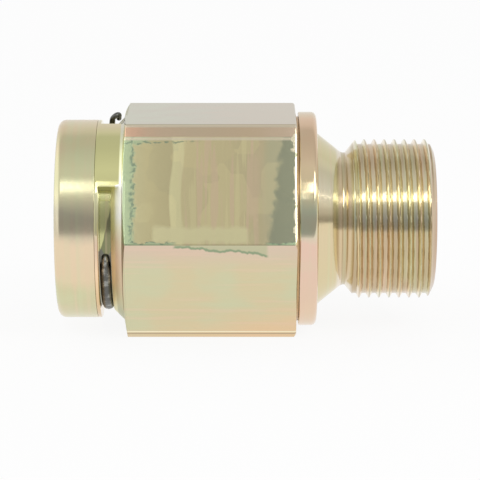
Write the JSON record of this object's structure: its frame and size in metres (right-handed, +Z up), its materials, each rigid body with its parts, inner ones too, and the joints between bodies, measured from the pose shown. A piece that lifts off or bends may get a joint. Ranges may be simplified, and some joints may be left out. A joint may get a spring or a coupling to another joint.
{
  "type": "straight hydraulic swivel fitting",
  "caption": "Straight hydraulic swivel fitting: a hexagonal housing with a wire-locked port collar turns on a ball bearing about a stem with a male thread and tube cone.",
  "frame": {"origin": "middle of the fitting on its long axis", "axes": "+X along the axis towards the male thread, +Z up, the housing lies on one flat of its hexagon"},
  "size_m": [0.056, 0.037, 0.032],
  "materials": {
    "housing_zinc": "yellow passivated zinc plating, satin",
    "collar_zinc": "yellow passivated zinc plating on a turned surface",
    "stem_zinc": "yellow passivated zinc plating on a turned surface",
    "spring_steel": "black phosphated spring steel",
    "seal_rubber": "matt nitrile rubber",
    "ptfe": "matt filled PTFE",
    "bearing_steel": "ground hardened steel",
    "ball_steel": "polished hardened steel",
    "cage_brass": "stamped brass",
    "plain_steel": "oiled turned steel",
    "bush_bronze": "bearing bronze",
    "wiper": "polyurethane"
  },
  "bodies": {
    "housing": {"hex_housing": "housing_zinc", "port_collar": "collar_zinc", "locking_wire": "spring_steel", "collar_o_ring": "seal_rubber", "collar_backup_ring": "ptfe", "tail_guide_ring": "ptfe", "left_backup_ring": "ptfe", "pressure_o_ring": "seal_rubber", "right_backup_ring": "ptfe", "bearing_shim": "bearing_steel", "housing_race": "bearing_steel", "neck_bush": "bush_bronze", "dust_wiper": "wiper", "slide_washer": "bush_bronze"},
    "stem": {"swivel_stem": "stem_zinc", "stem_nut": "plain_steel", "nut_grub_screws": "spring_steel", "stem_race": "bearing_steel"},
    "ball_set": {"thrust_balls": "ball_steel", "ball_cage": "cage_brass"}
  },
  "joints": [
    {"name": "stem_spin", "type": "hinge", "parent": "housing", "child": "stem", "pos_m": [0, 0, 0], "axis": [1, 0, 0], "continuous": true},
    {"name": "ball_orbit", "type": "hinge", "parent": "housing", "child": "ball_set", "pos_m": [0, 0, 0], "axis": [1, 0, 0], "continuous": true}
  ],
  "couplings": [
    {"joint": "ball_orbit", "follows": "stem_spin", "ratio": 0.5}
  ]
}
